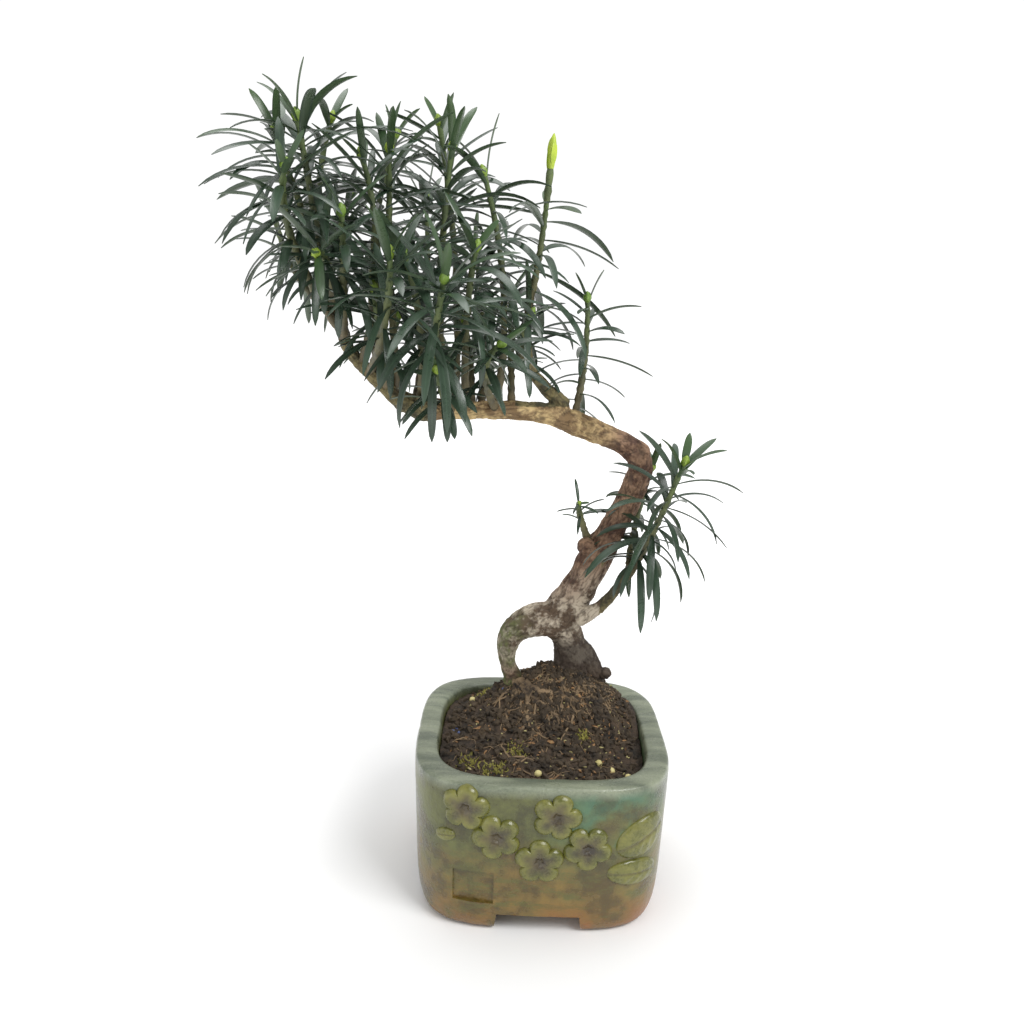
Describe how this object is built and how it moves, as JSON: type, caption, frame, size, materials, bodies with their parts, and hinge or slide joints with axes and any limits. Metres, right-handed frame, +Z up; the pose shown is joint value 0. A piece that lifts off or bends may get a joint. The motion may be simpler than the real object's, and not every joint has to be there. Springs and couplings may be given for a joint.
{
  "type": "buddhist pine bonsai in a glazed pot",
  "caption": "Small potted tree: a bent trunk on two surface roots carries upright leafy shoots to one side, in a squared glazed pot on corner feet.",
  "frame": {"origin": "centre of the pot's foot, on the surface that the pot stands on", "axes": "+Z up; -Y towards the front of the pot, the side with the flowers and the bare stamp; +X to the right as seen from the front"},
  "size_m": [0.2591, 0.2111, 0.3999],
  "materials": {
    "pot_glaze": "mottled green and tan gloss glaze",
    "petal_glaze": "yellow-green gloss glaze",
    "soil": "rough fibrous soil with bark and pellets",
    "bark": "rough flaking bark",
    "leaf": "dark semi-gloss leaves"
  },
  "bodies": {
    "root": {"bough_candle": "bark", "bough_left": "bark", "bough_right": "bark", "foliage_back_left": "leaf", "foliage_back_middle": "leaf", "foliage_back_right": "leaf", "foliage_candle": "leaf", "foliage_candle_foot": "leaf", "foliage_crown_right": "leaf", "foliage_front_bud": "leaf", "foliage_front_left": "leaf", "foliage_front_middle": "leaf", "foliage_front_right": "leaf", "foliage_inner_right": "leaf", "foliage_left": "leaf", "foliage_left_back": "leaf", "foliage_left_front": "leaf", "foliage_low_front": "leaf", "foliage_low_middle": "leaf", "foliage_low_right": "leaf", "foliage_lower_left": "leaf", "foliage_lower_left_back": "leaf", "foliage_right": "leaf", "foliage_right_back": "leaf", "foliage_rosette_left": "leaf", "foliage_rosette_low": "leaf", "foliage_rosette_middle": "leaf", "foliage_rosette_right": "leaf", "foliage_sprout": "leaf", "foliage_top_back_left": "leaf", "foliage_top_back_right": "leaf", "foliage_top_left": "leaf", "foliage_top_middle": "leaf", "foliage_top_right": "leaf", "foliage_trunk_bend": "leaf", "pot": "pot_glaze", "pot_flower_1": "petal_glaze", "pot_flower_2": "petal_glaze", "pot_flower_3": "petal_glaze", "pot_flower_4": "petal_glaze", "pot_flower_5": "petal_glaze", "pot_leaf_1": "petal_glaze", "pot_leaf_2": "petal_glaze", "pot_leaf_3": "petal_glaze", "soil": "soil", "trunk_lower": "bark", "trunk_upper": "bark"}
  },
  "joints": []
}
